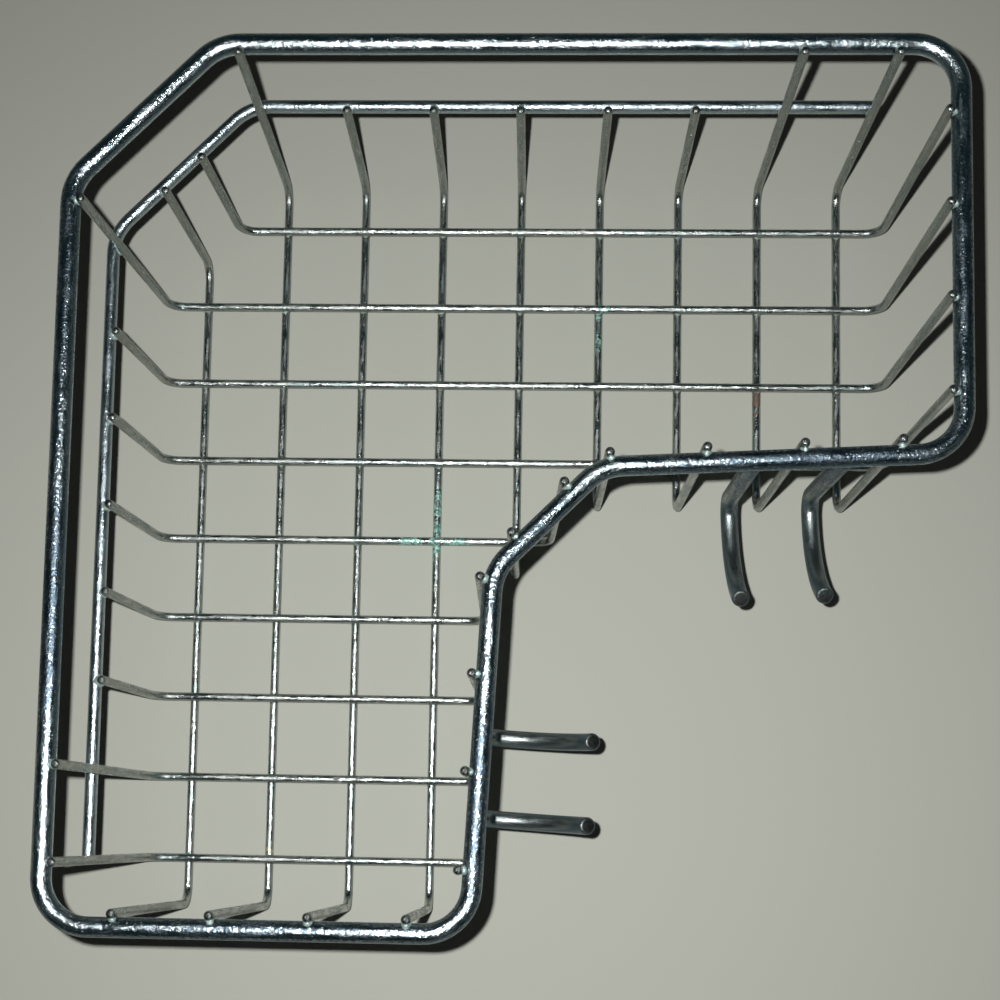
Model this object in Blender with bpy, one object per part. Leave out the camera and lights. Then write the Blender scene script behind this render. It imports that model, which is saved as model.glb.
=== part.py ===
"""Wire corner caddy: an L-shaped basket of chrome-plated rod for the corner of a wall.

The plan is drawn from the wall corner. A place in it is (across, along): across is the
distance from the left side of the rim, along the distance from its back side. One family of
wires runs along and lies lowest. The other is its mirror in the plan's diagonal, and lies on it.
"""

import math

import bpy
from mathutils import Quaternion, Vector
from mathutils.geometry import intersect_point_line

# Rods, across their flats, and the gap left at each weld
RIM_DIAMETER = 0.0056
RAIL_DIAMETER = 0.0038
WIRE_DIAMETER = 0.0027
HOOK_DIAMETER = 0.0052
WELD_GAP = 0.0003

# Floor wires. The rim's centre line lies off the first and past the last, and the arm's inner
# edge and the crotch's cut stop short of the two wires that follow those of the arm
WIRE_COUNT = 9
ARM_WIRE_COUNT = 4
WIRE_PITCH = 0.026
FIRST_WIRE = 0.020
LAST_WIRE = 0.017
EDGE_SHORT_OF_WIRE = 0.0048
CUT_SHORT_OF_WIRE = 0.0021

# Rim, on its centre line
ARM_DRAW = 0.0048
CORNER_CUT = 0.040
CORNER_BEND = 0.013
CUT_BEND = 0.015
RIM_HEIGHT = 0.086

# Rail under the window that the two back walls leave open
RAIL_HEIGHT = 0.052

# Risers: each back one stops at the rail, apart from those of these wires, which reach the rim
WIRES_TO_RIM = (2, 8, 9)
WIRE_BEND = 0.006
WIRE_OVER_RIM = 0.0040
WIRE_OVER_RAIL = 0.0044
FIRST_WIRE_SPLAY = 0.0018

# How far the feet of the risers stand inside where upright ones would
PAN_LEFT_TUCK = 0.0035
PAN_CUT_TUCK = 0.0032
PAN_RIGHT_ARM_TUCK = 0.0025
PAN_LEFT_ARM_TUCK = 0.0002
PAN_CROTCH_TUCK = 0.0013
PAN_RIGHT_TUCK = -0.0014
PAN_FRONT_TUCK = -0.0022

# Hooks on the inner edge of each arm: the wire before each, and how far past mid-gap its leg
# stands. The sweep runs off sideways by the splay, away from the crotch
HOOK_PLACES = ((7, 0.0003), (8, -0.0011))
HOOK_SPLAY = 0.0018
HOOK_INSET = 0.0002
HOOK_LEAN = 0.0014
HOOK_CLEARANCE = 0.0270
HOOK_BEND = 0.0062
HOOK_SWEEP = 0.0258
HOOK_DIP_ANGLE = math.radians(-8)
HOOK_END_ANGLE = math.radians(67)

# Facets
ROUND_SIDES = 12
WIRE_SIDES = 8
ARC_STEP = math.radians(11.3)
WIRE_ARC_STEP = math.radians(18.1)

# How each rod's end is rounded: distance back from the end and radius, in shares of the radius
TIP_BACK_SHARES = (0.62, 0.22, 0.0)
TIP_RADIUS_SHARES = (1.0, 0.83, 0.48)

RIM_RADIUS = RIM_DIAMETER / 2
RAIL_RADIUS = RAIL_DIAMETER / 2
WIRE_RADIUS = WIRE_DIAMETER / 2
HOOK_RADIUS = HOOK_DIAMETER / 2
SIDE = FIRST_WIRE + (WIRE_COUNT - 1) * WIRE_PITCH + LAST_WIRE
ARM_WIDTH = FIRST_WIRE + ARM_WIRE_COUNT * WIRE_PITCH - EDGE_SHORT_OF_WIRE
CROTCH_CUT = WIRE_PITCH + EDGE_SHORT_OF_WIRE - CUT_SHORT_OF_WIRE
RIM_REACH = RIM_RADIUS + WELD_GAP + WIRE_RADIUS
RAIL_REACH = RAIL_RADIUS + WELD_GAP + WIRE_RADIUS
DIAGONAL = math.sqrt(2)
SEAT_STEPS = 60


def plan(across, along, height=0.0):
    """The world point of a place in the plan. The origin is under the middle of the rim's box."""
    return Vector((across - SIDE / 2, SIDE / 2 - along, height))


def arc_between(before, corner, after, radius, step):
    """Points of the round bend that replaces a corner of a rod's centre line."""
    back = (before - corner).normalized()
    on = (after - corner).normalized()
    turn = math.pi - back.angle(on)
    centre = corner + (back + on).normalized() * radius / math.cos(turn / 2)
    start = corner + back * radius * math.tan(turn / 2) - centre
    axis = on.cross(back)
    count = math.ceil(turn / step)
    turned = [Quaternion(axis, turn * i / count) @ start for i in range(count + 1)]
    return [centre + spoke for spoke in turned]


def bent(corners, radii, step, closed=False):
    """A rod's centre line: straight runs between corners, each corner bent to its radius."""
    points = []
    last = len(corners) - 1
    for i, (corner, radius) in enumerate(zip(corners, radii)):
        if not closed and i in (0, last):
            points.append(corner)
            continue
        after = corners[(i + 1) % len(corners)]
        points += arc_between(corners[i - 1], corner, after, radius, step)
    return points


def outline(left, right, front, cut, right_arm, left_arm, draw, crotch):
    """The corners of the L in plan, clockwise from the outer cut, which crotch and cut measure.

    left, right and front are where those sides lie. cut is the sum of across and along on the
    outer cut, and crotch the same on the inner one. right_arm and left_arm are the arms' widths
    beside the crotch, and both are narrower by draw at their ends.
    """
    return [
        plan(left, cut - left),
        plan(cut, 0),
        plan(right, 0),
        plan(right, right_arm - draw),
        plan(crotch - right_arm, right_arm),
        plan(left_arm, crotch - left_arm),
        plan(left_arm - draw, front),
        plan(left, front),
    ]


def rim_line():
    """The rim's centre line in plan: one closed rod."""
    crotch = 2 * ARM_WIDTH + CROTCH_CUT
    corners = outline(0, SIDE, SIDE, CORNER_CUT, ARM_WIDTH, ARM_WIDTH, ARM_DRAW, crotch)
    cuts, ends = [CUT_BEND] * 2, [CORNER_BEND] * 2
    return bent(corners, cuts + ends + cuts + ends, ARC_STEP, closed=True)


def pan_line():
    """The rim's line as the feet of the risers would have it, moved in or out side by side."""
    cut = CORNER_CUT + PAN_CUT_TUCK * DIAGONAL
    crotch = 2 * ARM_WIDTH + CROTCH_CUT - PAN_CROTCH_TUCK * DIAGONAL
    right = SIDE - PAN_RIGHT_TUCK
    front = SIDE - PAN_FRONT_TUCK
    right_arm = ARM_WIDTH - PAN_RIGHT_ARM_TUCK
    left_arm = ARM_WIDTH - PAN_LEFT_ARM_TUCK
    return outline(PAN_LEFT_TUCK, right, front, cut, right_arm, left_arm, 0, crotch)


def rail_line():
    """The rail's centre line in plan: outside the risers along both back walls and the corner.

    The risers lean where the pan is tucked in, and the rail lies against them at its height.
    """
    back = RIM_REACH - RAIL_REACH
    lean_share = 1 - RAIL_HEIGHT / RIM_HEIGHT
    left = back + PAN_LEFT_TUCK * lean_share
    cut = CORNER_CUT + (back + PAN_CUT_TUCK * lean_share) * DIAGONAL
    end = wire_place(WIRE_COUNT) + WIRE_RADIUS
    corners = [plan(left, end), plan(left, cut - left), plan(cut - back, back), plan(end, back)]
    return bent(corners, [0, CUT_BEND, CUT_BEND, 0], ARC_STEP)


def wire_place(number):
    """How far wire 1, 2, 3 and so on lies from the side that it runs beside."""
    return FIRST_WIRE + (number - 1) * WIRE_PITCH


def distance(line, point, closed):
    """How far a point of the plan lies from a rod's centre line."""
    ends = line[1:] + line[:1] if closed else line[1:]
    nearest = math.inf
    for start, stop in zip(line, ends):
        foot, share = intersect_point_line(point, start, stop)
        foot = start if share < 0 else stop if share > 1 else foot
        nearest = min(nearest, (point - foot).length)
    return nearest


def seat(across, start, way, rods):
    """Where a riser touches the first of some rods, going through the plan from start.

    way is 1 or -1, along or back. rods holds (centre line, closed, reach): the riser's axis
    keeps reach away from each line.
    """
    along = start
    for _ in range(SEAT_STEPS):
        point = plan(across, along)
        along += way * min(distance(line, point, closed) - reach for line, closed, reach in rods)
    return along


def riser(across, foot, head, height, over):
    """Where a riser that leans from its foot to its seat ends, over above that seat."""
    lean = (head - foot) / height
    return across, head + lean * over, height + over


def mirrored(line):
    """A line of the plan, mirrored in its diagonal."""
    return [Vector((-point.y, -point.x, point.z)) for point in line]


def wire_corners(number, rim, rail, pan):
    """One wire's corners as (across, along, height), its floor run at height 0, front end first.

    A riser that splays comes last, so that the flats under the floor run stay level.
    """
    across = wire_place(number)
    head_across = across - FIRST_WIRE_SPLAY if number == 1 else across
    middle = ARM_WIDTH / 2
    back_rods, back_height, back_over = [(rail, False, RAIL_REACH)], RAIL_HEIGHT, WIRE_OVER_RAIL
    if number in WIRES_TO_RIM:
        back_rods, back_height, back_over = [(rim, True, RIM_REACH)], RIM_HEIGHT, WIRE_OVER_RIM
    ground = [(pan, True, RIM_REACH)]
    back_foot = seat(across, middle, -1, ground)
    back_head = seat(head_across, middle, -1, back_rods)
    front_foot = seat(across, middle, 1, ground)
    front_head = seat(across, middle, 1, [(rim, True, RIM_REACH)])
    return [
        riser(across, front_foot, front_head, RIM_HEIGHT, WIRE_OVER_RIM),
        (across, front_foot, 0),
        (across, back_foot, 0),
        riser(head_across, back_foot, back_head, back_height, back_over),
    ]


def wire_line(corners, level):
    """A wire's centre line, with its floor run at this level."""
    places = [plan(across, along, max(height, level)) for across, along, height in corners]
    return bent(places, [0, WIRE_BEND, WIRE_BEND, 0], WIRE_ARC_STEP)


def with_tips(points, radius):
    """(point, radius share) along a rod whose two ends are rounded."""
    found = []
    for end, beside in ((points[0], points[1]), (points[-1], points[-2])):
        way = (beside - end).normalized()
        tip = [
            (end + way * radius * back, share)
            for back, share in zip(TIP_BACK_SHARES, TIP_RADIUS_SHARES)
        ]
        found.append(tip)
    middle = [(point, 1.0) for point in points[1:-1]]
    return found[0][::-1] + middle + found[1]


def rod(name, points, radius, sides, material, closed=False):
    """A bent rod with flats above, below and at its sides, as a curve object."""
    curve = bpy.data.curves.new(name, "CURVE")
    curve.dimensions = "3D"
    curve.bevel_depth = radius / math.cos(math.pi / sides)
    curve.bevel_resolution = sides // 2 - 2
    curve.use_fill_caps = not closed
    spline = curve.splines.new("POLY")
    places = [(point, 1.0) for point in points] if closed else with_tips(points, radius)
    spline.points.add(len(places) - 1)
    for knot, (point, share) in zip(spline.points, places):
        knot.co = (*point, 1)
        knot.radius = share
        knot.tilt = math.pi / sides
    spline.use_cyclic_u = closed
    spline.use_smooth = True
    curve.materials.append(material)
    built = bpy.data.objects.new(name, curve)
    bpy.data.collections["wire_corner_caddy"].objects.link(built)
    return built


def chrome(name, colour, roughness):
    """A plated finish, one for each kind of rod."""
    material = bpy.data.materials.new(name)
    material.use_nodes = True
    shader = material.node_tree.nodes["Principled BSDF"]
    shader.inputs["Base Color"].default_value = (*colour, 1)
    shader.inputs["Metallic"].default_value = 1
    shader.inputs["Roughness"].default_value = roughness
    return material


def build_rim(line):
    """The thick closed rod round the top, which lies at its height by its location."""
    material = chrome("rim_chrome", (0.78, 0.80, 0.82), 0.16)
    rim = rod("rim", line, RIM_RADIUS, ROUND_SIDES, material, closed=True)
    rim.location.z = RIM_HEIGHT


def build_rail(line):
    """The thinner open rod under the window."""
    material = chrome("rail_chrome", (0.76, 0.78, 0.80), 0.18)
    rail = rod("window_rail", line, RAIL_RADIUS, WIRE_SIDES, material)
    rail.location.z = RAIL_HEIGHT


def build_wires(rim, rail, pan):
    """Both families: wires along, on the table, and wires across, on top of them."""
    material = chrome("wire_chrome", (0.72, 0.74, 0.74), 0.2)
    upper_level = WIRE_RADIUS + WIRE_DIAMETER + WELD_GAP
    across_lines = [mirrored(line) for line in (rim, rail, pan)]
    for number in range(1, WIRE_COUNT + 1):
        lower = wire_line(wire_corners(number, rim, rail, pan), WIRE_RADIUS)
        upper = mirrored(wire_line(wire_corners(number, *across_lines), upper_level))
        rod(f"lower_wire_{number}", lower, WIRE_RADIUS, WIRE_SIDES, material)
        rod(f"upper_wire_{number}", upper, WIRE_RADIUS, WIRE_SIDES, material)


def hook_profile():
    """A hook in its own upright plane, as (outward from the rim's centre line, height).

    The leg comes down from under the rim, leaning inward, and turns through a tight bend into
    a wide sweep that dips a little and rises to the tip.
    """
    foot = -HOOK_INSET - HOOK_LEAN
    top = RIM_HEIGHT - RIM_RADIUS - WELD_GAP
    bottom = HOOK_CLEARANCE + HOOK_RADIUS
    sweep_height = bottom + HOOK_SWEEP
    dip_out = HOOK_SWEEP * math.sin(HOOK_DIP_ANGLE)
    dip_height = sweep_height - HOOK_SWEEP * math.cos(HOOK_DIP_ANGLE)
    bend_height = dip_height + HOOK_BEND * math.cos(HOOK_DIP_ANGLE)
    leg_angle = -math.pi / 2 - math.atan2(HOOK_LEAN, top - bend_height)
    bend_out = foot - HOOK_BEND * math.sin(leg_angle)
    sweep_out = bend_out + HOOK_BEND * math.sin(HOOK_DIP_ANGLE) - dip_out
    profile = [(-HOOK_INSET, top)]
    turns = (
        (bend_out, bend_height, HOOK_BEND, leg_angle, HOOK_DIP_ANGLE),
        (sweep_out, sweep_height, HOOK_SWEEP, HOOK_DIP_ANGLE, HOOK_END_ANGLE),
    )
    for out, height, radius, start, stop in turns:
        count = math.ceil((stop - start) / ARC_STEP)
        for i in range(count + 1):
            angle = start + (stop - start) * i / count
            place = (out + radius * math.sin(angle), height - radius * math.cos(angle))
            if len(profile) == 1 or math.dist(place, profile[-1]) > WELD_GAP:
                profile.append(place)
    return profile


def build_hooks():
    """Two J-hooks on the inner edge of each arm, pointing away from the basket."""
    material = chrome("hook_chrome", (0.70, 0.71, 0.72), 0.22)
    draw_per_length = ARM_DRAW / (SIDE - ARM_WIDTH - CROTCH_CUT)
    for count, (number, past) in enumerate(HOOK_PLACES, start=1):
        across = wire_place(number) + WIRE_PITCH / 2 + past
        edge = ARM_WIDTH - draw_per_length * (across - ARM_WIDTH - CROTCH_CUT)
        profile = hook_profile()
        tip_out = profile[-1][0]
        places = [
            (across + HOOK_SPLAY * out / tip_out, edge + out, height) for out, height in profile
        ]
        right = [plan(across, along, height) for across, along, height in places]
        left = [plan(along, across, height) for across, along, height in places]
        rod(f"right_hook_{count}", right, HOOK_RADIUS, ROUND_SIDES, material)
        rod(f"left_hook_{count}", left, HOOK_RADIUS, ROUND_SIDES, material)


def main():
    for leftover in list(bpy.data.objects):
        bpy.data.objects.remove(leftover)
    collection = bpy.data.collections.new("wire_corner_caddy")
    bpy.context.scene.collection.children.link(collection)
    rim = rim_line()
    rail = rail_line()
    build_rim(rim)
    build_rail(rail)
    build_wires(rim, rail, pan_line())
    build_hooks()


main()
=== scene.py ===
"""Wire corner caddy: the visual model of a basket of chrome-plated rod for a wall corner."""

import math
from typing import NamedTuple

import bpy
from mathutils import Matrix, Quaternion, Vector
from mathutils.geometry import intersect_point_line


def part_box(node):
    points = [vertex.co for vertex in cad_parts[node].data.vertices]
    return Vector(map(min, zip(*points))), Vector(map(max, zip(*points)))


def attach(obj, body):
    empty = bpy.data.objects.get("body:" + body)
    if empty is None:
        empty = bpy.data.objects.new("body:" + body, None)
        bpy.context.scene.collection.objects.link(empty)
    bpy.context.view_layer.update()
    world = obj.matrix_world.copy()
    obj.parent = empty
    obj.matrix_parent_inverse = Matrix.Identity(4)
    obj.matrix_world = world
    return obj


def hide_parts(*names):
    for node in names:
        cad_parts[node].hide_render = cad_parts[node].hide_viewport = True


bl_info = {
    "name": "Wire Corner Caddy",
    "version": (1, 0, 0),
    "blender": (4, 5, 0),
    "location": "3D View > Sidebar > Caddy",
    "description": "Builds an L-shaped basket of chrome-plated rod on its packed frame",
    "category": "Object",
}

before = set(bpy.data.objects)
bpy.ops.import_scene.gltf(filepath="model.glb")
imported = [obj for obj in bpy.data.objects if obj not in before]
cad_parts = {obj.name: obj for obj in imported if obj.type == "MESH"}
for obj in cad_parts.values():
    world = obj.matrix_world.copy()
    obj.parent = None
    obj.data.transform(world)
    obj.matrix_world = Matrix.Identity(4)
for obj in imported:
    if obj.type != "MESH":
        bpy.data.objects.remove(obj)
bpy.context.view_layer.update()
RIM_LOW, RIM_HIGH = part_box("rim")
RAIL_LOW, RAIL_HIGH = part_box("window_rail")
WIRE_COUNT = 9
ARM_WIRE_COUNT = 4
WIRES_TO_RIM = (2, 8, 9)
HOOKED_WIRES = (7, 8)
DIAGONAL = math.sqrt(2)
# How many times a riser is moved towards its rod, each time by the gap that is left
SEAT_STEPS = 60
# A rod's thickness against the CAD's, so that the piece stays inside its faceted solid's box
THINNER_SHARE = 0.997
BEND_STEP, WIRE_BEND_STEP = math.radians(5), math.radians(7.5)
RIM_SIDES, RAIL_SIDES, WIRE_SIDES, HOOK_SIDES = 40, 32, 24, 36
# The longest stretch of rod without a ring, in radii
RING_GAP = 3
# How much of a cut end is flat before its edge rounds over, and the rings of that edge
RAIL_FLAT_SHARE, WIRE_FLAT_SHARE, HOOK_FLAT_SHARE = 0.62, 0.12, 0.66
EDGE_STEPS = 5
FLOOR_SIZE = 8
SENSOR_WIDTH = 36


def length(name, description, default):
    """A size in metres that a user may change."""
    return bpy.props.FloatProperty(
        name=name, description=description, default=default, unit="LENGTH", precision=5
    )


def angle(name, description, degrees):
    """A turn that a user may change."""
    return bpy.props.FloatProperty(
        name=name, description=description, default=math.radians(degrees), subtype="ANGLE"
    )


def colour(name, description, default):
    """A linear colour that a user may change."""
    return bpy.props.FloatVectorProperty(
        name=name, description=description, default=default, size=3, subtype="COLOR", min=0, max=1
    )


def share(name, description, default):
    """A number from 0 to 1 that a user may change."""
    return bpy.props.FloatProperty(
        name=name, description=description, default=default, min=0, max=1, subtype="FACTOR"
    )


class CaddyRods(bpy.types.PropertyGroup):
    rim: length("Rim", "Thickness of the rod round the top", RIM_HIGH.z - RIM_LOW.z)
    rail: length("Rail", "Thickness of the rod under the window", RAIL_HIGH.z - RAIL_LOW.z)
    wire: length("Wire", "Thickness of the floor wires and risers", 0.0027)
    hook: length("Hook", "Thickness of the hooks", 0.0052)
    weld_gap: length("Weld gap", "Space left between rods, which a weld bead fills", 0.0003)


class CaddyPlan(bpy.types.PropertyGroup):
    pitch: length("Pitch", "Distance between floor wires", 0.026)
    first: length("First wire", "From the rim's centre line to the first wire", 0.020)
    last: length("Last wire", "From the last wire to the rim's centre line", 0.017)
    edge_short: length("Edge short", "How far the arm's edge stops short of the next wire", 0.0048)
    cut_short: length("Cut short", "How far the crotch's cut stops short of its wire", 0.0021)
    draw: length("Draw", "How much narrower an arm is at its end", 0.0048)
    corner_cut: length("Corner cut", "The cut at the wall corner, along each side", 0.040)
    corner_bend: length("Corner bend", "Bend radius at the ends of the arms", 0.013)
    cut_bend: length("Cut bend", "Bend radius at either end of a cut", 0.015)
    rim_height: length("Rim height", "Height of the rim's centre", (RIM_LOW.z + RIM_HIGH.z) / 2)
    rail_height: length(
        "Rail height", "Height of the rail's centre", (RAIL_LOW.z + RAIL_HIGH.z) / 2
    )


class CaddyRisers(bpy.types.PropertyGroup):
    bend: length("Bend", "Bend radius at the foot of a riser", 0.006)
    over_rim: length("Over rim", "How far a riser stands above the rim's centre", 0.0040)
    over_rail: length("Over rail", "How far a riser stands above the rail's centre", 0.0044)
    splay: length("Splay", "How far the first wire's back riser leans sideways", 0.0018)
    left_tuck: length("Left tuck", "How far the pan's left side is tucked in", 0.0035)
    cut_tuck: length("Cut tuck", "How far the pan's corner cut is tucked in", 0.0032)
    right_arm_tuck: length("Right arm tuck", "How far its edge of the pan is tucked in", 0.0025)
    left_arm_tuck: length("Left arm tuck", "How far its edge of the pan is tucked in", 0.0002)
    crotch_tuck: length("Crotch tuck", "How far the pan's crotch is tucked in", 0.0013)
    right_push: length("Right push", "How far the pan's right side is pushed out", 0.0014)
    front_push: length("Front push", "How far the pan's front is pushed out", 0.0022)
    sunk: length("Sunk", "How far the weld has sunk a riser's head towards its rod", 0.0007)


class CaddyHooks(bpy.types.PropertyGroup):
    first_past: length("First past", "How far the first leg is past the middle of its gap", 0.0003)
    second_past: length("Second past", "The same for the second leg", -0.0011)
    splay: length("Splay", "How far the sweep runs off sideways", 0.0018)
    inset: length("Inset", "How far the top of the leg lies inside the rim's centre line", 0.0002)
    lean: length("Lean", "How far the leg leans inward on its way down", 0.0014)
    clearance: length("Clearance", "From the table to the lowest point of a hook", 0.0270)
    bend: length("Bend", "Radius of the tight bend under the leg", 0.0062)
    sweep: length("Sweep", "Radius of the wide bend that rises to the tip", 0.0258)
    dip: angle("Dip", "How steeply the sweep begins, below level", 8)
    rise: angle("Rise", "How steeply the sweep ends", 67)


class CaddyFinish(bpy.types.PropertyGroup):
    plate: colour("Plate", "Clean chrome plate", (0.46, 0.53, 0.56))
    wire_plate: colour("Wire plate", "Plate on the wires, which is thinner", (0.46, 0.49, 0.465))
    smoked: colour("Smoked plate", "Plate where it has dulled to blue-green", (0.30, 0.41, 0.41))
    hook_plate: colour("Hook plate", "Plate on the hooks, which is thinner", (0.31, 0.35, 0.35))
    weld: colour("Weld", "Plate over the weld beads", (0.52, 0.65, 0.60))
    # Painted shade: the dark blue-grey that dims the plate in patches
    shaded_patch: colour("Worn plate", "Plate that wear has dulled", (0.07, 0.11, 0.15))
    # Painted shade: the colour that darkens the sides of the rim and hooks
    side_shade: colour("Shoulder", "Plate on the sides of the thick rods", (0.10, 0.15, 0.19))
    pit: colour("Pit", "The floor of a pit", (0.07, 0.08, 0.08))
    cut_end: colour("Cut end", "Bare steel where a rod was cut", (0.05, 0.055, 0.052))
    # Painted brown reflection and shade on upright rod: the darker tone in its drawn lines and the
    # paler one between them
    dark_brown_reflection: colour("Dark film", "Film on upright rod, in its drawn lines", (0.030, 0.029, 0.024))
    pale_brown_reflection: colour("Pale film", "The same film, between its lines", (0.155, 0.146, 0.127))
    verdigris: colour("Verdigris", "Copper salts that bloom at worn welds", (0.40, 0.70, 0.60))
    patina: colour("Patina", "Dark film under the verdigris", (0.03, 0.17, 0.14))
    rust: colour("Rust", "Rust stain", (0.15, 0.075, 0.04))
    lime: colour("Lime", "Yellowish mineral spots", (0.62, 0.58, 0.40))
    lump_share: share("Lumps", "Height of the weld beads' lumps against a wire's thickness", 0.3)


class CaddyStage(bpy.types.PropertyGroup):
    floor: colour("Floor", "Pale floor", (0.43, 0.44, 0.385))
    fill: share("Fill", "Level of the soft light from all round", 0.02)
    key: bpy.props.FloatProperty(
        name="Key", description="Power of the lamp beside the camera", default=2.38, unit="POWER"
    )
    glint: share("Glint", "Share of the lamp's power that polished metal reflects", 0.78)
    lamp_size: length("Lamp size", "Width of the lamp", 0.006)
    lamp_place: bpy.props.FloatVectorProperty(
        name="Lamp", description="Where the lamp stands from the camera",
        default=(-0.0188, 0.0125, 0), subtype="TRANSLATION", precision=5,
    )
    skirting: colour("Skirting", "The room near the floor, as metal sees it", (0.06, 0.065, 0.065))
    room: colour("Room", "The room above that", (0.009, 0.021, 0.025))
    lens: bpy.props.FloatProperty(
        name="Lens", description="Focal length", default=53.13, unit="CAMERA"
    )
    place: bpy.props.FloatVectorProperty(
        name="Camera", description="Where the camera stands", default=(0.00825, -0.09504, 0.47792),
        subtype="TRANSLATION", precision=5,
    )
    turn: bpy.props.FloatVectorProperty(
        name="Camera turn", description="How the camera is turned",
        default=(0.088791, 0.034200, 0.018495), subtype="EULER", precision=6,
    )
    shift: bpy.props.FloatVectorProperty(
        name="Shift", description="Lens shift that frames the caddy", size=2, default=(0.0184, 0.20)
    )


GROUPS = {
    "caddy_rods": CaddyRods,
    "caddy_plan": CaddyPlan,
    "caddy_risers": CaddyRisers,
    "caddy_hooks": CaddyHooks,
    "caddy_finish": CaddyFinish,
    "caddy_stage": CaddyStage,
}


def arc_between(before, corner, after, radius, step):
    """Points of the round bend that replaces a corner of a rod's centre line."""
    back = (before - corner).normalized()
    on = (after - corner).normalized()
    turn = math.pi - back.angle(on)
    centre = corner + (back + on).normalized() * radius / math.cos(turn / 2)
    start = corner + back * radius * math.tan(turn / 2) - centre
    axis = on.cross(back)
    count = math.ceil(turn / step)
    return [centre + Quaternion(axis, turn * i / count) @ start for i in range(count + 1)]


def bent(corners, radii, step=BEND_STEP):
    """A rod's centre line: straight runs between corners, each corner bent to its radius."""
    points = []
    for i, (corner, radius) in enumerate(zip(corners, radii)):
        if radius:
            after = corners[(i + 1) % len(corners)]
            points += arc_between(corners[i - 1], corner, after, radius, step)
        else:
            points.append(corner)
    return points


def stretches(points, closed):
    """Each point of a line with the next."""
    return zip(points, points[1:] + points[:1] if closed else points[1:])


def nearest(line, point, closed):
    """The place on a rod's centre line that lies nearest to a point of the plan."""
    found = None
    for start, stop in stretches(line, closed):
        foot, along = intersect_point_line(point, start, stop)
        foot = start if along < 0 else stop if along > 1 else foot
        if found is None or (point - foot).length < (point - found).length:
            found = foot
    return found


def mirrored(line):
    """A line of the plan, mirrored in its diagonal."""
    return [Vector((-point.y, -point.x, point.z)) for point in line]


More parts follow.
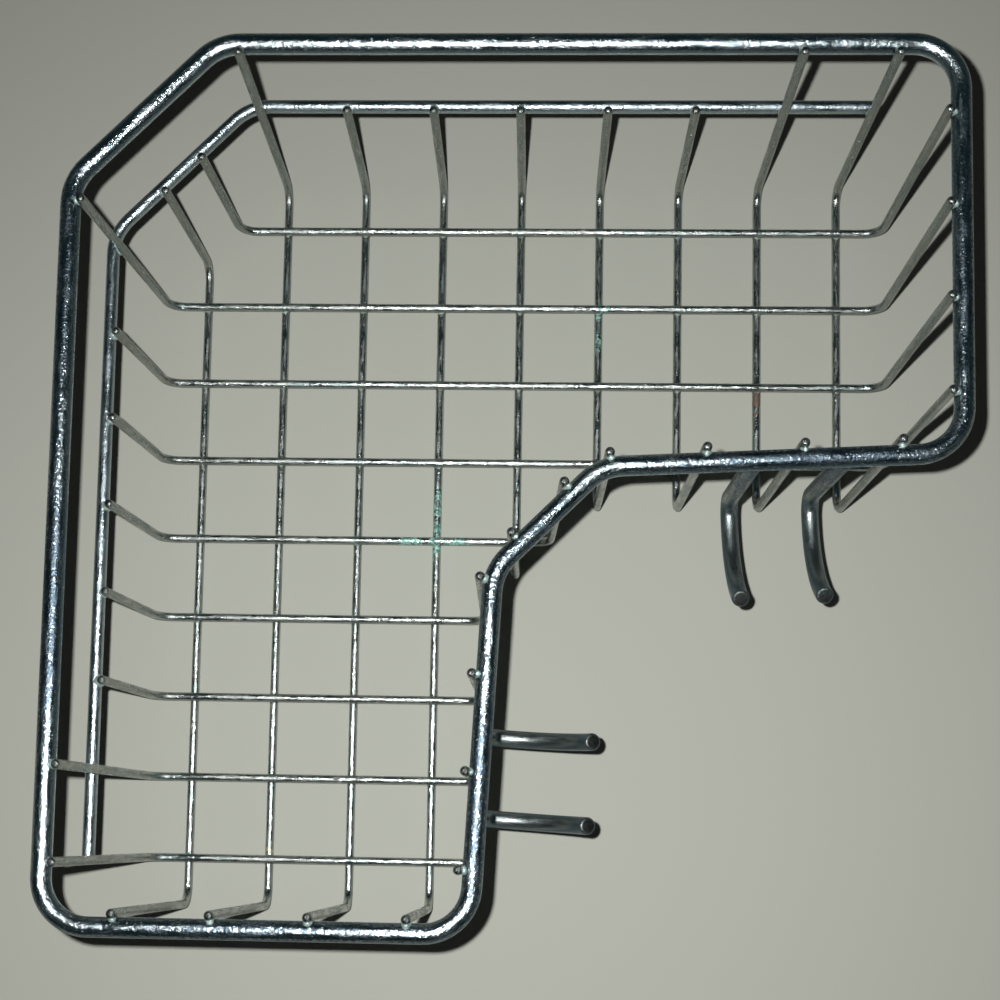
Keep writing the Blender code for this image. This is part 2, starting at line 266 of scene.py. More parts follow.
class Basket:
    """The centre lines of every rod, worked out from the sizes in the sidebar.

    A place in the plan is (across, along): across from the left side of the rim, along from its
    back side.
    """

    def __init__(self, scene):
        self.rods, self.plan = scene.caddy_rods, scene.caddy_plan
        self.risers, self.hooks = scene.caddy_risers, scene.caddy_hooks
        plan, rods = self.plan, self.rods
        self.side = plan.first + (WIRE_COUNT - 1) * plan.pitch + plan.last
        self.arm = plan.first + ARM_WIRE_COUNT * plan.pitch - plan.edge_short
        self.crotch = 2 * self.arm + plan.pitch + plan.edge_short - plan.cut_short
        self.rim_reach = rods.rim / 2 + rods.weld_gap + rods.wire / 2
        self.rail_reach = rods.rail / 2 + rods.weld_gap + rods.wire / 2
        self.levels = (rods.wire / 2, rods.wire * 1.5 + rods.weld_gap)
        self.rim, self.rail, self.pan = self.rim_line(), self.rail_line(), self.pan_line()

    def at(self, across, along, height=0.0):
        """The world point of a place in the plan."""
        return Vector((across - self.side / 2, self.side / 2 - along, height))

    def wire_place(self, number):
        """How far wire 1, 2, 3 and so on lies from the side that it runs beside."""
        return self.plan.first + (number - 1) * self.plan.pitch

    def outline(self, left, right, front, cut, right_arm, left_arm, draw, crotch):
        """The corners of the L, clockwise from the outer cut."""
        return [
            self.at(left, cut - left),
            self.at(cut, 0),
            self.at(right, 0),
            self.at(right, right_arm - draw),
            self.at(crotch - right_arm, right_arm),
            self.at(left_arm, crotch - left_arm),
            self.at(left_arm - draw, front),
            self.at(left, front),
        ]

    def rim_line(self):
        """The closed line round the top, at no height yet, as the next two are."""
        plan, side = self.plan, self.side
        arms = (self.arm, self.arm)
        corners = self.outline(0, side, side, plan.corner_cut, *arms, plan.draw, self.crotch)
        cuts, ends = [plan.cut_bend] * 2, [plan.corner_bend] * 2
        return bent(corners, cuts + ends + cuts + ends)

    def pan_line(self):
        """The rim's line as the feet of the risers would have it."""
        tuck = self.risers
        cut = self.plan.corner_cut + tuck.cut_tuck * DIAGONAL
        crotch = self.crotch - tuck.crotch_tuck * DIAGONAL
        right, front = self.side + tuck.right_push, self.side + tuck.front_push
        arms = (self.arm - tuck.right_arm_tuck, self.arm - tuck.left_arm_tuck)
        return self.outline(tuck.left_tuck, right, front, cut, *arms, 0, crotch)

    def rail_line(self):
        """The open line outside the risers, along both back walls and the corner."""
        plan, tuck = self.plan, self.risers
        back = self.rim_reach - self.rail_reach
        lean = 1 - plan.rail_height / plan.rim_height
        left = back + tuck.left_tuck * lean
        cut = plan.corner_cut + (back + tuck.cut_tuck * lean) * DIAGONAL
        end = self.wire_place(WIRE_COUNT) + self.rods.wire / 2
        at = self.at
        corners = [at(left, end), at(left, cut - left), at(cut - back, back), at(end, back)]
        return bent(corners, [0, plan.cut_bend, plan.cut_bend, 0])

    def seat(self, across, way, rods):
        """Where a riser touches the first of some rods, going out from the middle of the arm."""
        along = self.arm / 2
        for _ in range(SEAT_STEPS):
            point = self.at(across, along)
            along += way * min(
                (point - nearest(line, point, closed)).length - reach
                for line, closed, reach in rods
            )
        return along

    def wire(self, number, upper):
        """A wire's centre line, the two points where it is welded to a rod, and its two feet."""
        turn = mirrored if upper else list
        rim, rail, pan = turn(self.rim), turn(self.rail), turn(self.pan)
        plan, tuck = self.plan, self.risers
        across, level = self.wire_place(number), self.levels[upper]
        back_across = across - tuck.splay if number == 1 else across
        ground, on_rim = [(pan, True, self.rim_reach)], [(rim, True, self.rim_reach - tuck.sunk)]
        back = ([(rail, False, self.rail_reach - tuck.sunk)], plan.rail_height, tuck.over_rail)
        if number in WIRES_TO_RIM:
            back = (on_rim, plan.rim_height, tuck.over_rim)
        ends = []
        for head_across, way, (rods, height, over) in (
            (across, 1, (on_rim, plan.rim_height, tuck.over_rim)),
            (back_across, -1, back),
        ):
            foot = self.seat(across, way, ground)
            head = self.seat(head_across, way, rods)
            top = self.at(head_across, head + (head - foot) / height * over, height + over)
            ends.append((self.at(across, foot, level), top, self.at(head_across, head, height)))
        (front_foot, front_top, front_weld), (back_foot, back_top, back_weld) = ends
        bends = [0, tuck.bend, tuck.bend, 0]
        line = bent([front_top, front_foot, back_foot, back_top], bends, WIRE_BEND_STEP)
        return turn(line), turn([front_weld, back_weld]), turn([front_foot, back_foot])

    def hook(self, which, upper):
        """A hook's centre line: a leaning leg, a tight bend and a wide sweep up to the tip."""
        plan, hooks = self.plan, self.hooks
        past = (hooks.first_past, hooks.second_past)[which]
        across = self.wire_place(HOOKED_WIRES[which]) + plan.pitch / 2 + past
        cut = self.crotch - 2 * self.arm
        edge = self.arm - plan.draw * (across - self.arm - cut) / (self.side - self.arm - cut)
        radius, bend = hooks.sweep, hooks.bend
        top = plan.rim_height - self.rods.rim / 2 - self.rods.weld_gap
        centre = hooks.clearance + self.rods.hook / 2 + radius
        start, stop = -hooks.dip, hooks.rise
        bend_height = centre - (radius - bend) * math.cos(start)
        leg = -math.pi / 2 - math.atan2(hooks.lean, top - bend_height)
        bend_out = -hooks.inset - hooks.lean - bend * math.sin(leg)
        out = bend_out - (radius - bend) * math.sin(start)
        profile = [(-hooks.inset, top)]
        for place, height, size, first, last in (
            (bend_out, bend_height, bend, leg, start),
            (out, centre, radius, start, stop),
        ):
            count = math.ceil((last - first) / BEND_STEP)
            for i in range(1, count + 1):
                turn = first + (last - first) * i / count
                profile.append((place + size * math.sin(turn), height - size * math.cos(turn)))
        splay = hooks.splay / profile[-1][0]
        line = [self.at(across + splay * out, edge + out, height) for out, height in profile]
        return mirrored(line) if upper else line


def spaced(points, gap, closed):
    """The same centre line with a point at least every gap, so that straight runs bake evenly."""
    found = []
    for start, stop in stretches(points, closed):
        count = max(1, math.ceil((stop - start).length / gap))
        found += [start.lerp(stop, i / count) for i in range(count)]
    return found if closed else found + [points[-1]]


def frames(points, closed):
    """Two unit vectors across the rod at each point, turned as little as the bends allow."""
    tangents = []
    last = len(points) - 1
    for i in range(len(points)):
        before = points[i - 1] if closed or i else points[0]
        after = points[(i + 1) % len(points)] if closed or i < last else points[last]
        tangents.append((after - before).normalized())
    across = tangents[0].orthogonal().normalized()
    found = []
    for i, tangent in enumerate(tangents):
        if i:
            across = tangents[i - 1].rotation_difference(tangent) @ across
        across = (across - tangent * across.dot(tangent)).normalized()
        found.append((across, tangent.cross(across)))
    return found


def rounded(points, radius, flat_share):
    """(points, radii) with both ends cut square and their edges rounded over."""
    edge = radius * (1 - flat_share)
    turns = [math.radians(90 / EDGE_STEPS * i) for i in range(EDGE_STEPS + 1)]
    caps = []
    for end, beside in ((points[0], points[1]), (points[-1], points[-2])):
        way = (beside - end).normalized()
        caps.append([(end, 0)] + [
            (end + way * edge * (1 - math.cos(turn)), radius - edge * (1 - math.sin(turn)))
            for turn in turns
        ])
    places = caps[0] + [(point, radius) for point in points[1:-1]] + caps[1][::-1]
    return [point for point, _ in places], [size for _, size in places]


def swept(name, points, radius, sides, material, flat_share=None):
    """A round rod as a mesh, with its place along the rod kept for the finish to read.

    A rod with no flat_share is closed, and one with it has two cut ends.
    """
    closed = flat_share is None
    points = spaced(points, radius * RING_GAP, closed)
    across = frames(points, closed)
    if closed:
        radii = [radius] * len(points)
    else:
        ring_frames = {tuple(point): pair for point, pair in zip(points, across)}
        first, last = across[0], across[-1]
        points, radii = rounded(points, radius, flat_share)
        middle = len(points) // 2
        across = [
            ring_frames.get(tuple(point), first if i < middle else last)
            for i, point in enumerate(points)
        ]
    vertices, places, faces = [], [], []
    travelled = 0.0
    for i, (point, size, (u, v)) in enumerate(zip(points, radii, across)):
        travelled += (point - points[i - 1]).length if i else 0.0
        if size == 0:
            vertices.append(point)
            places.append((travelled, 0.0, 0.0))
            continue
        for side in range(sides):
            turn = math.tau * side / sides
            spoke = (math.cos(turn), math.sin(turn))
            vertices.append(point + (u * spoke[0] + v * spoke[1]) * size)
            places.append((travelled, spoke[0] * size, spoke[1] * size))
    if closed:
        rings = [[i * sides + side for side in range(sides)] for i in range(len(points))]
        pairs = zip(rings, rings[1:] + rings[:1])
    else:
        count = len(points) - 2
        rings = [[1 + i * sides + side for side in range(sides)] for i in range(count)]
        pairs = zip(rings, rings[1:])
        end = len(vertices) - 1
        faces += [(0, rings[0][side], rings[0][side - 1]) for side in range(sides)]
        faces += [(end, rings[-1][side - 1], rings[-1][side]) for side in range(sides)]
    for lower, upper in pairs:
        for side in range(sides):
            faces.append((lower[side - 1], lower[side], upper[side], upper[side - 1]))
    mesh = bpy.data.meshes.new(name)
    mesh.from_pydata(vertices, [], faces)
    mesh.shade_smooth()
    corners = [places[vertex] for face in faces for vertex in face]
    if closed:
        whole = travelled + (points[0] - points[-1]).length
        last_faces = len(corners) - 4 * sides
        corners[last_faces:] = [(place[0] or whole, *place[1:]) for place in corners[last_faces:]]
    along = mesh.attributes.new("rod_place", "FLOAT_VECTOR", "CORNER")
    along.data.foreach_set("vector", [number for place in corners for number in place])
    if not closed:
        edge = radius * (1 - flat_share)
        ends = [min(1, (radius - math.hypot(*place[1:])) / edge) for place in places]
        mesh.attributes.new("cut_end", "FLOAT", "POINT").data.foreach_set("value", ends)
    mesh.materials.append(material)
    mesh.update()
    built = bpy.data.objects.new(name, mesh)
    bpy.context.scene.collection.objects.link(built)
    return built


def settle(piece, slot, *nodes):
    """Rides the piece on the caddy, and lets it stand for its CAD nodes."""
    if nodes:
        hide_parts(*nodes)
    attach(piece, "root")


# The inner share of a spot's reach that it covers in full
CORE_SHARE = 0.15
# Each noise of the finish: scale, detail and roughness
NOISES = {
    "lines": (2100, 3, 0.6),
    "speckle": (1700, 2, 0.6),
    "peel": (1000, 3, 0.6),
    "waves": (260, 2, 0.5),
    "cloud": (75, 3, 0.6),
    "patches": (700, 3, 0.6),
    "pitted": (300, 2, 0.55),
    "shade_grain": (1100, 4, 0.7),
    "broken": (620, 4, 0.65),
    "bloom": (900, 3, 0.6),
}
# The values of a noise between which what it drives sets in
SETS_IN = {
    "lines": (0.42, 0.62),
    "cloud": (0.46, 0.70),
    "patches": (0.36, 0.66),
    "pitted": (0.52, 0.62),
    "shade_grain": (0.32, 0.68),
    "broken": (0.30, 0.72),
    "bloom": (0.38, 0.56),
}
# How far the drawn lines are stretched along a rod: less is longer
DRAWN_SHARE = 0.16
PIT_SCALE = 900.0
PIT_EDGE, PIT_FLOOR = 0.30, 0.10
# Height of the normal where the painted brown reflection starts and is full, and where the painted
# shade on the rods' sides does and ends
BROWN_REFLECTION_FROM, BROWN_REFLECTION_FULL = 0.42, 0.10
SIDE_SHADE_FROM, SIDE_SHADE_FULL, SIDE_SHADE_FADES, SIDE_SHADE_ENDS = 0.66, 0.50, 0.16, 0.02
# How far each kind of damage, and the painted shade in patches and on the rods' sides, takes the
# colour, the roughness, the relief and the metal with it
PIT_TONE, PIT_ROUGH, PIT_DEPTH = 0.75, 0.2, -0.4
CUT_ROUGH = 0.15
SHADED_PATCH_TONE, SHADED_PATCH_ROUGH = 0.85, 0.14
SIDE_SHADE_TONE = 0.85
BLOOM_TONE, BLOOM_ROUGH, BLOOM_METAL = 0.85, 0.15, -0.55
SPOT_EDGE = 0.12


class Nodes:
    """Short ways to add and join the nodes of one tree."""

    def __init__(self, tree):
        self.tree = tree

    def add(self, kind, inputs=None, **settings):
        node = self.tree.nodes.new(kind)
        for name, value in settings.items():
            setattr(node, name, value)
        for name, value in (inputs or {}).items():
            self.set(node.inputs[name], value)
        return node

    def set(self, socket, value):
        """Join a socket to another, or give it a plain value."""
        if isinstance(value, bpy.types.NodeSocket):
            self.tree.links.new(value, socket)
        else:
            socket.default_value = value

    def noise(self, vector, name):
        scale, detail, rough = NOISES[name]
        node = self.add("ShaderNodeTexNoise", {
            "Vector": vector, "Scale": scale, "Detail": detail, "Roughness": rough,
        })
        return node.outputs["Fac"]

    def remap(self, value, low, high, to_low=0.0, to_high=1.0):
        node = self.add("ShaderNodeMapRange", {
            "Value": value, "From Min": low, "From Max": high, "To Min": to_low, "To Max": to_high,
        }, interpolation_type="SMOOTHSTEP")
        return node.outputs["Result"]

    def math(self, operation, first, second):
        return self.add("ShaderNodeMath", {0: first, 1: second}, operation=operation).outputs[0]

    def grown(self, value, share, amount):
        """A value with a share of some amount added."""
        return self.math("ADD", value, self.math("MULTIPLY", share, amount))

    def mix(self, share, first, second):
        node = self.add(
            "ShaderNodeMix", {"Factor": share, "A": first, "B": second},
            data_type="RGBA", clamp_factor=True,
        )
        return node.outputs["Result"]

    def near(self, vector, place, reach):
        """1 at a place on the caddy, falling to 0 at reach."""
        apart = self.add("ShaderNodeVectorMath", {0: vector, 1: place}, operation="DISTANCE")
        return self.remap(apart.outputs["Value"], reach, reach * CORE_SHARE)


# Where the plate has broken down, and where painted shade dims it: place, reach and how far it has
# gone, from 0 to 1
VERDIGRIS = (
    ((-0.0245, 0.0110, 0.003), 0.0090, 0.62),
    ((-0.0245, 0.0030, 0.003), 0.0060, 0.80),
    ((-0.0245, -0.0025, 0.003), 0.0055, 1.0),
    ((-0.0330, -0.0020, 0.005), 0.0058, 0.9),
    ((-0.0180, -0.0010, 0.005), 0.0080, 0.7),
    ((-0.0260, -0.0060, 0.002), 0.0040, 0.8),
    ((0.0275, 0.0750, 0.002), 0.0080, 0.45),
    ((0.0275, 0.0665, 0.002), 0.0060, 0.5),
)
LIME = (
    ((-0.0765, -0.1030, 0.003), 0.0030, 0.5),
    ((-0.0765, -0.0555, 0.003), 0.0028, 0.45),
    ((-0.0245, -0.0535, 0.004), 0.0028, 0.45),
)
RUST = (
    ((0.0795, 0.0475, 0.002), 0.0045, 0.7),
    ((0.0795, 0.0420, 0.002), 0.0030, 0.5),
)
# Painted shade: patches on the rim, and on the hooks near it, darkened so that the highlight there
# is weaker
SHADED_PATCHES = (
    ((-0.1225, 0.0550, 0.086), 0.060, 0.55),
    ((-0.1225, -0.0350, 0.086), 0.065, 0.85),
    ((0.0800, 0.0030, 0.086), 0.070, 0.80),
    ((-0.0030, -0.0850, 0.086), 0.060, 0.72),
    ((0.0080, -0.0200, 0.086), 0.035, 0.55),
    ((0.1225, 0.0600, 0.086), 0.070, 0.55),
    ((-0.0600, -0.1225, 0.086), 0.060, 0.55),
)


class Plate(NamedTuple):
    """The finish of one kind of rod."""

    base: str  # its colour among the finishes
    roughness: tuple  # the two values that it runs between, in patches
    relief: float  # depth of the surface in metres
    grain: tuple  # weights of drawn lines, speckle, peel and waves in that depth
    pitting: float
    smoke: float  # how dull the clouded patches are
    cut: float = 0.0  # how dark the cut ends are
    brown_reflection: float = 0.0  # how strong the painted brown reflection and shade on upright rod is
    metal: float = 1.0
    blooms: bool = False  # whether verdigris, lime and rust show, or painted shade in patches and on the rods' sides


PLATES = {
    "rim_plate": Plate("plate", (0.12, 0.33), 0.00016, (0.35, 0.9, 1.1, 0.7), 1.0, 0.45),
    "rail_plate": Plate(
        "plate", (0.22, 0.44), 0.00014, (0.35, 1.0, 0.9, 0.7), 0.6, 0.35, cut=0.2, blooms=True
    ),
    "wire_plate": Plate(
        "wire_plate", (0.14, 0.46), 0.00016, (1.0, 0.7, 0.6, 0.8), 0.7, 0.5,
        cut=0.9, brown_reflection=0.30, blooms=True,
    ),
    "hook_plate": Plate(
        "hook_plate", (0.32, 0.52), 0.00009, (0.9, 0.3, 0.45, 1.0), 0.5, 0.3, cut=1.0, brown_reflection=0.4
    ),
    "bead_plate": Plate(
        "weld", (0.35, 0.60), 0.00030, (0.0, 0.6, 0.6, 1.0), 0.5, 0.3, metal=0.7, blooms=True
    ),
}


def spots(nodes, vector, marks, grain):
    """How far some spots have spread, with edges broken up by a grain."""
    total = 0.0
    for place, reach, strength in marks:
        spread = nodes.math("MULTIPLY", nodes.near(vector, place, reach), strength)
        total = nodes.math("MAXIMUM", total, spread)
    return nodes.remap(nodes.math("SUBTRACT", total, grain), 0.0, SPOT_EDGE)


def finish_for(scene, kind):
    """Chrome plate over drawn rod for one kind of rod, made once.

    It has drawing lines, fine speckle, orange peel and waves in its relief, pits, dulled patches,
    dark cut ends, painted brown reflection on upright rod, and painted shade in patches and on the
    sides of the rim and hooks.
    """
    made = bpy.data.materials.get(kind)
    if made:
        return made
    plate, tones = PLATES[kind], scene.caddy_finish
    material = bpy.data.materials.new(kind)
    material.use_nodes = True
    nodes = Nodes(material.node_tree)
    shader = nodes.tree.nodes["Principled BSDF"].inputs

    def tint(name):
        return (*getattr(tones, name), 1)

    place = nodes.add("ShaderNodeTexCoord").outputs["Object"]
    rod_place = nodes.add("ShaderNodeAttribute", attribute_name="rod_place").outputs["Vector"]
    drawn = nodes.add("ShaderNodeMapping", {"Vector": rod_place, "Scale": (DRAWN_SHARE, 1, 1)})
    drawn = drawn.outputs["Vector"]
    end = nodes.add("ShaderNodeAttribute", attribute_name="cut_end").outputs["Fac"]
    lines = nodes.noise(drawn, "lines")
    normal = nodes.add("ShaderNodeNewGeometry").outputs["Normal"]
    up = nodes.add("ShaderNodeSeparateXYZ", {"Vector": normal}).outputs["Z"]

    cells = nodes.add("ShaderNodeTexVoronoi", {"Vector": place, "Scale": PIT_SCALE})
    sparse = nodes.remap(nodes.noise(place, "pitted"), *SETS_IN["pitted"], 0.0, plate.pitting)
    pits = nodes.remap(cells.outputs["Distance"], PIT_EDGE, PIT_FLOOR)
    pits = nodes.math("MULTIPLY", pits, sparse)
    smoke = nodes.remap(nodes.noise(place, "cloud"), *SETS_IN["cloud"], 0.0, plate.smoke)
    # Painted brown reflection and shade where the normal is near level (upright rod and the sides
    # of the wires and hooks), streaked along the drawn lines, but not on cut ends
    upright = nodes.remap(up, BROWN_REFLECTION_FROM, BROWN_REFLECTION_FULL, 0.0, plate.brown_reflection)
    upright = nodes.math("MULTIPLY", upright, nodes.math("SUBTRACT", 1.0, end))
    brown_reflection = nodes.mix(nodes.remap(lines, *SETS_IN["lines"]), tint("dark_brown_reflection"), tint("pale_brown_reflection"))

    tone = nodes.mix(smoke, tint(plate.base), tint("smoked"))
    tone = nodes.mix(nodes.math("MULTIPLY", pits, PIT_TONE), tone, tint("pit"))
    tone = nodes.mix(nodes.math("MULTIPLY", end, plate.cut), tone, tint("cut_end"))
    tone = nodes.mix(upright, tone, brown_reflection)
    rough = nodes.remap(nodes.noise(drawn, "patches"), *SETS_IN["patches"], *plate.roughness)
    rough = nodes.grown(nodes.grown(rough, pits, PIT_ROUGH), end, CUT_ROUGH)
    metal = plate.metal
    if plate.blooms:
        broken = nodes.remap(nodes.noise(place, "broken"), *SETS_IN["broken"])
        bloom = nodes.remap(nodes.noise(place, "bloom"), *SETS_IN["bloom"])
        copper = nodes.mix(bloom, tint("patina"), tint("verdigris"))
        for marks, stain in ((VERDIGRIS, copper), (LIME, tint("lime")), (RUST, tint("rust"))):
            spread = spots(nodes, place, marks, broken)
            tone = nodes.mix(nodes.math("MULTIPLY", spread, BLOOM_TONE), tone, stain)
            rough = nodes.grown(rough, spread, BLOOM_ROUGH)
            metal = nodes.grown(metal, spread, BLOOM_METAL)
        metal = nodes.math("MAXIMUM", metal, 0.0)
    else:
        # Painted shade: patches darkened so that the highlight is weaker, their edges broken by a
        # grain, with roughness raised there
        shade_grain = nodes.remap(nodes.noise(place, "shade_grain"), *SETS_IN["shade_grain"])
        shaded_patch = spots(nodes, place, SHADED_PATCHES, shade_grain)
        tone = nodes.mix(nodes.math("MULTIPLY", shaded_patch, SHADED_PATCH_TONE), tone, tint("shaded_patch"))
        rough = nodes.grown(rough, shaded_patch, SHADED_PATCH_ROUGH)
        # Painted shade: the sides of the rim and hooks darkened by the height of their normal,
        # fading out where the normal is near level
        side_shade = nodes.remap(up, SIDE_SHADE_FROM, SIDE_SHADE_FULL)
        foot = nodes.remap(up, SIDE_SHADE_ENDS, SIDE_SHADE_FADES, 0.0, SIDE_SHADE_TONE)
        tone = nodes.mix(nodes.math("MULTIPLY", side_shade, foot), tone, tint("side_shade"))

    height = nodes.math("MULTIPLY", pits, PIT_DEPTH)
    layers = (lines, *(nodes.noise(place, name) for name in ("speckle", "peel", "waves")))
    for layer, weight in zip(layers, plate.grain):
        height = nodes.grown(height, layer, weight)
    bump = nodes.add(
        "ShaderNodeBump", {"Height": height, "Strength": 1.0, "Distance": plate.relief}
    )
    nodes.set(shader["Base Color"], tone)
    nodes.set(shader["Roughness"], rough)
    nodes.set(shader["Metallic"], metal)
    nodes.set(shader["Normal"], bump.outputs["Normal"])
    return material


class CADDY_OT_rim(bpy.types.Operator):
    """Bend the thick closed rod round the top"""

    bl_idname = "caddy.rim"
    bl_label = "Rim"

    def execute(self, context):
        basket = Basket(context.scene)
        lift = Vector((0, 0, basket.plan.rim_height))
        line = [point + lift for point in basket.rim]
        plate = finish_for(context.scene, "rim_plate")
        radius = basket.rods.rim / 2 * THINNER_SHARE
        piece = swept("rim_rod", line, radius, RIM_SIDES, plate)
        settle(piece, "rim", "rim")
        return {"FINISHED"}


class CADDY_OT_rail(bpy.types.Operator):
    """Bend the thinner open rod under the window"""

    bl_idname = "caddy.rail"
    bl_label = "Window rail"

    def execute(self, context):
        basket = Basket(context.scene)
        lift = Vector((0, 0, basket.plan.rail_height))
        line = [point + lift for point in basket.rail]
        plate = finish_for(context.scene, "rail_plate")
        radius = basket.rods.rail / 2 * THINNER_SHARE
        piece = swept("rail_rod", line, radius, RAIL_SIDES, plate, RAIL_FLAT_SHARE)
        settle(piece, "rail", "window_rail")
        return {"FINISHED"}


class CADDY_OT_wires(bpy.types.Operator):
    """Bend both families of floor wires, with their risers"""

    bl_idname = "caddy.wires"
    bl_label = "Floor wires"

    def execute(self, context):
        basket = Basket(context.scene)
        plate = finish_for(context.scene, "wire_plate")
        radius = basket.rods.wire / 2 * THINNER_SHARE
        for upper, family in enumerate(("lower", "upper")):
            for number in range(1, WIRE_COUNT + 1):
                line, _, _ = basket.wire(number, upper)
                name = f"{family}_floor_wire_{number}"
                piece = swept(name, line, radius, WIRE_SIDES, plate, WIRE_FLAT_SHARE)
                settle(piece, "wire", f"{family}_wire_{number}")
        return {"FINISHED"}


class CADDY_OT_hooks(bpy.types.Operator):
    """Bend the hooks on the inner edge of each arm"""

    bl_idname = "caddy.hooks"
    bl_label = "Hooks"

    def execute(self, context):
        basket = Basket(context.scene)
        plate = finish_for(context.scene, "hook_plate")
        radius = basket.rods.hook / 2 * THINNER_SHARE
        for upper, arm in enumerate(("right", "left")):
            for which in range(len(HOOKED_WIRES)):
                line = basket.hook(which, upper)
                name = f"{arm}_arm_hook_{which + 1}"
                piece = swept(name, line, radius, HOOK_SIDES, plate, HOOK_FLAT_SHARE)
                settle(piece, "hook", f"{arm}_hook_{which + 1}")
        return {"FINISHED"}


# Half sizes of a weld bead against half a wire, across and along the upright
CROSSING_BEAD = (1.02, 0.62)
RIM_BEAD, RAIL_BEAD, PASSING_BEAD = (0.95, 1.15), (1.25, 1.15), (0.95, 1.1)
# How far a head's bead lies from the riser's centre line towards its rod, and above the weld
BEAD_OUT, BEAD_ABOVE_RIM, BEAD_ABOVE_RAIL = 1.15, 0.8, 0.4
BEAD_SUBDIVISIONS = 3
LUMP_SCALE = 900.0
SMALLEST_BEAD, LARGEST_BEAD = 0.88, 1.12
BEAD_SEED = 7


def bead_places(basket):
    """(centre, half sizes) of the weld bead at every crossing and riser head."""
    half = basket.rods.wire / 2
    found = []

    def add(place, sizes):
        across, upright = (half * size for size in sizes)
        found.append((place, (across, across, upright)))

    wires = {(upper, number): basket.wire(number, upper)
             for upper in (0, 1) for number in range(1, WIRE_COUNT + 1)}
    between = (basket.levels[0] + basket.levels[1]) / 2
    for lower in range(1, WIRE_COUNT + 1):
        _, _, (front, back) = wires[0, lower]
        for upper in range(1, WIRE_COUNT + 1):
            _, _, (right, left) = wires[1, upper]
            place = Vector((front.x, right.y, between))
            if front.y < place.y < back.y and left.x < place.x < right.x:
                add(place, CROSSING_BEAD)
    for (_, number), (line, welds, _) in wires.items():
        for weld, end in zip(welds, ("front", "back")):
            on_rim = end == "front" or number in WIRES_TO_RIM
            rod = basket.rim if on_rim else basket.rail
            above = half * (BEAD_ABOVE_RIM if on_rim else BEAD_ABOVE_RAIL)
            place = weld + outward(rod, weld, on_rim) * half * BEAD_OUT + Vector((0, 0, above))
            add(place, RIM_BEAD if on_rim else RAIL_BEAD)
            if end == "back" and number in WIRES_TO_RIM:
                add(passing_place(basket, line), PASSING_BEAD)
    return found


def outward(rod, point, closed):
    """The level unit vector from a riser to the nearest place on a rod."""
    level = Vector((point.x, point.y, 0))
    return (nearest(rod, level, closed) - level).normalized()


def passing_place(basket, line):
    """Where a riser on its way to the rim touches the rail."""
    foot, head = line[-2], line[-1]
    axis = foot.lerp(head, (basket.plan.rail_height - foot.z) / (head.z - foot.z))
    reach = (basket.rods.wire + basket.rods.weld_gap) / 2
    return axis + outward(basket.rail, axis, False) * reach


def bead_tree(material):
    """A node tree that sets a lumpy bead on every point, sized by its attribute and turned."""
    tree = bpy.data.node_groups.new("weld_beads", "GeometryNodeTree")
    for name, way, kind in (
        ("Geometry", "INPUT", "NodeSocketGeometry"),
        ("Swelling", "INPUT", "NodeSocketFloat"),
        ("Seed", "INPUT", "NodeSocketInt"),
        ("Geometry", "OUTPUT", "NodeSocketGeometry"),
    ):
        tree.interface.new_socket(name, in_out=way, socket_type=kind)
    nodes = Nodes(tree)
    add = nodes.add
    given = add("NodeGroupInput").outputs
    bead = add("GeometryNodeMeshIcoSphere", {"Radius": 1.0, "Subdivisions": BEAD_SUBDIVISIONS})
    size = add("GeometryNodeInputNamedAttribute", {"Name": "bead_size"}, data_type="FLOAT_VECTOR")
    turn = add(
        "FunctionNodeRandomValue", {"Min": 0.0, "Max": math.tau, "Seed": given["Seed"]},
        data_type="FLOAT",
    )
    spin = add("ShaderNodeCombineXYZ", {"Z": turn.outputs["Value"]})
    swell = add(
        "FunctionNodeRandomValue",
        {"Min": SMALLEST_BEAD, "Max": LARGEST_BEAD, "Seed": given["Seed"]}, data_type="FLOAT",
    )
    scale = add(
        "ShaderNodeVectorMath",
        {0: size.outputs["Attribute"], "Scale": swell.outputs["Value"]}, operation="SCALE",
    )
    beads = add("GeometryNodeInstanceOnPoints", {
        "Points": given["Geometry"], "Instance": bead.outputs["Mesh"],
        "Rotation": spin.outputs["Vector"], "Scale": scale.outputs["Vector"],
    })
    real = add("GeometryNodeRealizeInstances", {"Geometry": beads.outputs["Instances"]})
    lumps = add("ShaderNodeTexNoise", {"Scale": LUMP_SCALE, "Detail": 1.0})
    centred = add("ShaderNodeMath", {0: lumps.outputs["Fac"], 1: 0.5}, operation="SUBTRACT")
    normal = add("GeometryNodeInputNormal")
    push = add(
        "ShaderNodeVectorMath",
        {0: normal.outputs["Normal"], "Scale": centred.outputs["Value"]}, operation="SCALE",
    )
    lift = add(
        "ShaderNodeVectorMath",
        {0: push.outputs["Vector"], "Scale": given["Swelling"]}, operation="SCALE",
    )
    move = add("GeometryNodeSetPosition", {
        "Geometry": real.outputs["Geometry"], "Offset": lift.outputs["Vector"],
    })
    smooth = add("GeometryNodeSetShadeSmooth", {"Geometry": move.outputs["Geometry"]})
    coat = add("GeometryNodeSetMaterial", {
        "Geometry": smooth.outputs["Geometry"], "Material": material,
    })
    add("NodeGroupOutput", {"Geometry": coat.outputs["Geometry"]})
    return tree


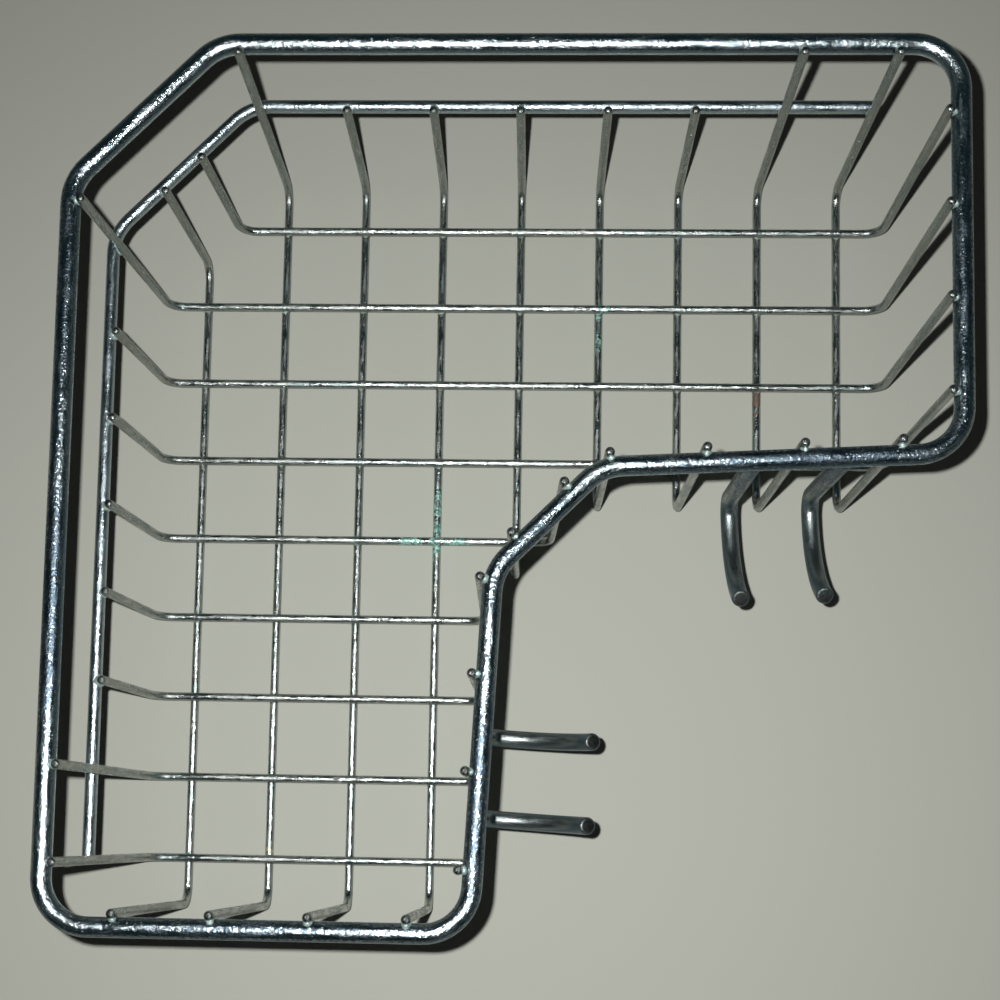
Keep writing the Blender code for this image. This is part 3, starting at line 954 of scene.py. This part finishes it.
class CADDY_OT_welds(bpy.types.Operator):
    """Set a weld bead at every crossing and at every riser's head"""

    bl_idname = "caddy.welds"
    bl_label = "Weld beads"

    def execute(self, context):
        scene = context.scene
        basket = Basket(scene)
        places = bead_places(basket)
        mesh = bpy.data.meshes.new("bead_points")
        mesh.from_pydata([place for place, _ in places], [], [])
        sizes = mesh.attributes.new("bead_size", "FLOAT_VECTOR", "POINT")
        sizes.data.foreach_set("vector", [number for _, size in places for number in size])
        points = bpy.data.objects.new("bead_points", mesh)
        scene.collection.objects.link(points)
        modifier = points.modifiers.new("beads", "NODES")
        modifier.node_group = bead_tree(finish_for(scene, "bead_plate"))
        inputs = {
            item.name: item.identifier
            for item in modifier.node_group.interface.items_tree
            if item.in_out == "INPUT"
        }
        modifier[inputs["Swelling"]] = basket.rods.wire * scene.caddy_finish.lump_share
        modifier[inputs["Seed"]] = BEAD_SEED
        evaluated = points.evaluated_get(context.evaluated_depsgraph_get())
        built = bpy.data.meshes.new_from_object(evaluated)
        bpy.data.objects.remove(points)
        piece = bpy.data.objects.new("weld_beads", built)
        scene.collection.objects.link(piece)
        settle(piece, "wire")
        return {"FINISHED"}


def lamp(scene, name, power):
    """A small square lamp beside the camera, facing down."""
    stage = scene.caddy_stage
    data = bpy.data.lights.new(name, "AREA")
    data.size = stage.lamp_size
    data.energy = power
    light = bpy.data.objects.new(name, data)
    light.location = Vector(stage.place) + Vector(stage.lamp_place)
    light.visible_camera = False
    scene.collection.objects.link(light)
    return light


# Heights on the world's sphere where the skirting ends and the bare room starts
SKIRTING_TOP, ROOM_FROM = 0.02, 0.26
PAPER_ROUGHNESS, PAPER_SPECULAR = 0.9, 0.1


class CADDY_OT_stage(bpy.types.Operator):
    """Set out the pale floor, the lamps, the surroundings and the camera"""

    bl_idname = "caddy.stage"
    bl_label = "Stage"

    def execute(self, context):
        scene, stage = context.scene, context.scene.caddy_stage
        self.lay_floor(context)
        self.surround(scene)
        lamp(scene, "glint_lamp", stage.key * stage.glint)
        # The rest of the power leaves polished metal out, so that its streaks are weaker
        lamp(scene, "key_lamp", stage.key * (1 - stage.glint)).visible_glossy = False
        camera_data = bpy.data.cameras.new("camera")
        camera_data.lens = stage.lens
        camera_data.sensor_width = SENSOR_WIDTH
        camera_data.shift_x, camera_data.shift_y = stage.shift
        camera = bpy.data.objects.new("camera", camera_data)
        camera.location = stage.place
        camera.rotation_euler = stage.turn
        scene.collection.objects.link(camera)
        scene.camera = camera
        scene.view_settings.view_transform = "Standard"
        return {"FINISHED"}

    def lay_floor(self, context):
        """A wide matt floor under the caddy."""
        bpy.ops.mesh.primitive_plane_add(size=FLOOR_SIZE)
        floor = context.object
        floor.name = "pale_floor"
        paper = bpy.data.materials.new("floor_paper")
        paper.use_nodes = True
        shader = paper.node_tree.nodes["Principled BSDF"].inputs
        shader["Base Color"].default_value = (*context.scene.caddy_stage.floor, 1)
        shader["Roughness"].default_value = PAPER_ROUGHNESS
        shader["Specular IOR Level"].default_value = PAPER_SPECULAR
        floor.data.materials.append(paper)

    def surround(self, scene):
        """Even light all round, and a dim room with a pale skirting for metal and camera."""
        stage = scene.caddy_stage
        world = bpy.data.worlds.new("studio")
        world.use_nodes = True
        scene.world = world
        nodes = Nodes(world.node_tree)
        even = world.node_tree.nodes["Background"]
        even.inputs["Color"].default_value = (1, 1, 1, 1)
        even.inputs["Strength"].default_value = stage.fill
        way = nodes.add("ShaderNodeTexCoord").outputs["Generated"]
        height = nodes.add("ShaderNodeSeparateXYZ", {"Vector": way}).outputs["Z"]
        ramp = nodes.add("ShaderNodeValToRGB", {"Fac": height})
        low, high = ramp.color_ramp.elements
        low.position, low.color = SKIRTING_TOP, (*stage.skirting, 1)
        high.position, high.color = ROOM_FROM, (*stage.room, 1)
        room = nodes.add("ShaderNodeBackground", {"Color": ramp.outputs["Color"]})
        path = nodes.add("ShaderNodeLightPath").outputs
        seen = nodes.math("MAXIMUM", path["Is Camera Ray"], path["Is Glossy Ray"])
        seen = nodes.math("MAXIMUM", seen, path["Is Transmission Ray"])
        mix = nodes.add("ShaderNodeMixShader", {
            "Fac": seen, 1: even.outputs["Background"], 2: room.outputs["Background"],
        })
        nodes.set(world.node_tree.nodes["World Output"].inputs["Surface"], mix.outputs["Shader"])


PIECES = (
    CADDY_OT_rim, CADDY_OT_rail, CADDY_OT_wires, CADDY_OT_hooks, CADDY_OT_welds, CADDY_OT_stage,
)


class CADDY_PT_panel(bpy.types.Panel):
    """Sizes, finishes and the pieces to build"""

    bl_idname = "CADDY_PT_panel"
    bl_label = "Wire Corner Caddy"
    bl_space_type = "VIEW_3D"
    bl_region_type = "UI"
    bl_category = "Caddy"

    def draw(self, context):
        for group in GROUPS:
            settings = getattr(context.scene, group)
            box = self.layout.box()
            for name in settings.__annotations__:
                box.prop(settings, name)
        for operator in PIECES:
            self.layout.operator(operator.bl_idname)


def register():
    for cls in (*GROUPS.values(), *PIECES, CADDY_PT_panel):
        bpy.utils.register_class(cls)
    for name, group in GROUPS.items():
        setattr(bpy.types.Scene, name, bpy.props.PointerProperty(type=group))


def unregister():
    for name in GROUPS:
        delattr(bpy.types.Scene, name)
    for cls in reversed((*GROUPS.values(), *PIECES, CADDY_PT_panel)):
        bpy.utils.unregister_class(cls)


def main():
    """Builds every piece in order."""
    register()
    bpy.ops.caddy.rim()
    bpy.ops.caddy.rail()
    bpy.ops.caddy.wires()
    bpy.ops.caddy.hooks()
    bpy.ops.caddy.welds()
    bpy.ops.caddy.stage()
    bpy.context.view_layer.update()


if __name__ == "__main__":
    main()
